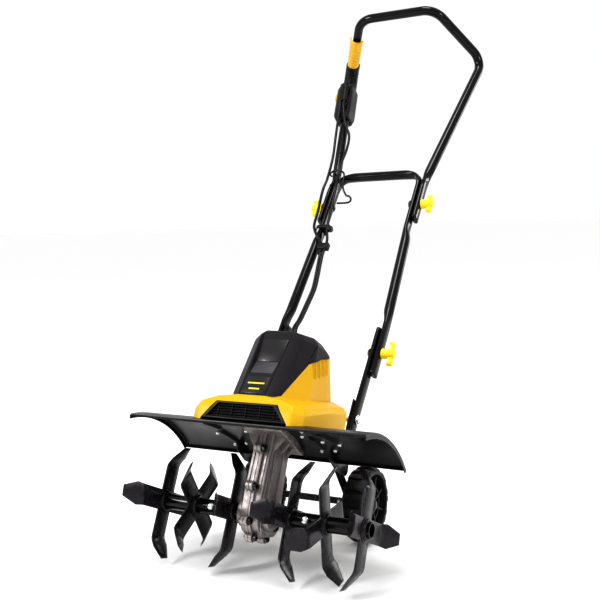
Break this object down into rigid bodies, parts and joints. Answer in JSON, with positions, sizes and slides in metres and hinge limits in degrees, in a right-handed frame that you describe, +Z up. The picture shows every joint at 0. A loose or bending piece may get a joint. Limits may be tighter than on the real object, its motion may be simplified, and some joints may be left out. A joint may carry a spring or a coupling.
{
  "type": "electric garden tiller",
  "caption": "Walk-behind electric tiller: bladed rotor under a curved guard, upright motor and worm gearbox, folding tube handle with grip switch, rear transport wheels.",
  "frame": {"origin": "on the ground, under the centre of the machine's box", "axes": "+Z up, +Y from the tines towards the operator, +X to the side away from the switch"},
  "size_m": [0.42, 0.854, 0.9954],
  "materials": {
    "yellow_plastic": "moulded, golden yellow",
    "lemon_plastic": "moulded, bright yellow",
    "charcoal_plastic": "moulded, fine grain",
    "black_plastic": "moulded, black",
    "black_painted_steel": "gloss black powder coat",
    "cast_aluminium": "die cast, matt",
    "zinc_plated_steel": "zinc plated",
    "bright_steel": "turned",
    "bronze": "turned bronze",
    "copper_winding": "varnished winding on laminations",
    "black_rubber": "smooth"
  },
  "bodies": {
    "machine": {"gearbox_left_half": "cast_aluminium", "gearbox_right_half": "cast_aluminium", "casing_bolt_1": "black_plastic", "casing_bolt_2": "black_plastic", "casing_bolt_3": "black_plastic", "worm_lower_bearing": "bright_steel", "motor_base": "charcoal_plastic", "motor_stator": "bright_steel", "motor_end_frame": "charcoal_plastic", "motor_top_bearing": "bright_steel", "motor_housing": "yellow_plastic", "top_cover": "charcoal_plastic", "front_grille": "black_plastic", "tine_guard": "black_painted_steel", "base_bracket_left": "black_painted_steel", "base_bracket_right": "black_painted_steel", "base_bolt_left": "zinc_plated_steel", "base_bolt_right": "zinc_plated_steel", "lower_tube_left": "black_painted_steel", "lower_tube_right": "black_painted_steel", "lower_bolt_left": "zinc_plated_steel", "lower_bolt_right": "zinc_plated_steel"},
    "tine_drive": {"tine_shaft": "bright_steel", "worm_wheel": "bronze", "tine_hub_left": "black_painted_steel", "tine_hub_right": "black_painted_steel", "clevis_pin_left": "zinc_plated_steel", "clevis_pin_right": "zinc_plated_steel", "tine_star_left_1": "black_painted_steel", "tine_star_left_2": "black_painted_steel", "tine_star_left_3": "black_painted_steel", "tine_star_right_1": "black_painted_steel", "tine_star_right_2": "black_painted_steel", "tine_star_right_3": "black_painted_steel"},
    "rotor": {"worm_shaft": "bright_steel", "motor_armature": "copper_winding", "cooling_fan": "black_plastic"},
    "wheel_carrier": {"wheel_bracket": "black_painted_steel", "wheel_axle": "black_painted_steel"},
    "left_wheel": {"wheel_left": "black_plastic"},
    "right_wheel": {"wheel_right": "black_plastic"},
    "frame": {"middle_frame": "black_painted_steel", "upper_bolt_left": "zinc_plated_steel", "upper_bolt_right": "zinc_plated_steel", "lead_a_upper": "black_rubber", "lead_b_upper": "black_rubber", "lead_a_lower": "black_rubber", "lead_b_lower": "black_rubber", "lead_clip": "black_plastic", "lead_strap": "black_plastic", "cord_hook": "black_plastic"},
    "handle": {"upper_handle": "black_painted_steel", "switch_box": "black_plastic", "cable_boot": "black_rubber"},
    "lever": {"switch_lever": "lemon_plastic"},
    "button": {"lock_off_button": "lemon_plastic"},
    "left_lower_knob": {"lower_knob_left": "lemon_plastic"},
    "right_lower_knob": {"lower_knob_right": "lemon_plastic"},
    "left_upper_knob": {"upper_knob_left": "lemon_plastic"},
    "right_upper_knob": {"upper_knob_right": "lemon_plastic"}
  },
  "joints": [
    {"name": "tine_spin", "type": "hinge", "parent": "machine", "child": "tine_drive", "pos_m": [0, -0.3335, 0.0936], "axis": [1, 0, 0], "continuous": true},
    {"name": "motor_spin", "type": "hinge", "parent": "machine", "child": "rotor", "pos_m": [0, -0.26992, 0.17372], "axis": [0, 0.4431, 0.8965], "continuous": true},
    {"name": "wheel_arm_swing", "type": "hinge", "parent": "machine", "child": "wheel_carrier", "pos_m": [0, -0.19327, 0.13584], "axis": [1, 0, 0], "range_deg": [0, 35]},
    {"name": "left_wheel_spin", "type": "hinge", "parent": "wheel_carrier", "child": "left_wheel", "pos_m": [-0.1015, -0.1471, 0.0645], "axis": [1, 0, 0], "continuous": true},
    {"name": "right_wheel_spin", "type": "hinge", "parent": "wheel_carrier", "child": "right_wheel", "pos_m": [0.1015, -0.1471, 0.0645], "axis": [1, 0, 0], "continuous": true},
    {"name": "frame_fold", "type": "hinge", "parent": "machine", "child": "frame", "pos_m": [0, -0.07388, 0.31488], "axis": [1, 0, 0], "range_deg": [0, 90]},
    {"name": "handle_fold", "type": "hinge", "parent": "frame", "child": "handle", "pos_m": [0, 0.15151, 0.57705], "axis": [-1, 0, 0], "range_deg": [0, 160]},
    {"name": "lever_squeeze", "type": "hinge", "parent": "handle", "child": "lever", "pos_m": [-0.13987, 0.39992, 0.9082], "axis": [-0.8973, -0.3162, 0.3081], "range_deg": [0, 2.5], "stiffness_Nm_per_rad": 0.6, "springref_deg": -20.05},
    {"name": "button_press", "type": "slide", "parent": "handle", "child": "button", "axis": [0.9855, 0.0753, 0.1523], "range_m": [0, 0.003], "stiffness_N_per_m": 400, "springref_m": -0.004},
    {"name": "left_lower_knob_turn", "type": "hinge", "parent": "machine", "child": "left_lower_knob", "pos_m": [-0.1215, -0.07388, 0.31488], "axis": [1, 0, 0], "range_deg": [0, 720]},
    {"name": "left_upper_knob_turn", "type": "hinge", "parent": "frame", "child": "left_upper_knob", "pos_m": [-0.1194, 0.15151, 0.57705], "axis": [1, 0, 0], "range_deg": [0, 720]},
    {"name": "right_lower_knob_turn", "type": "hinge", "parent": "machine", "child": "right_lower_knob", "pos_m": [0.1215, -0.07388, 0.31488], "axis": [1, 0, 0], "range_deg": [0, 720]},
    {"name": "right_upper_knob_turn", "type": "hinge", "parent": "frame", "child": "right_upper_knob", "pos_m": [0.1194, 0.15151, 0.57705], "axis": [1, 0, 0], "range_deg": [0, 720]}
  ],
  "couplings": [
    {"joint": "motor_spin", "follows": "tine_spin", "ratio": 24}
  ]
}
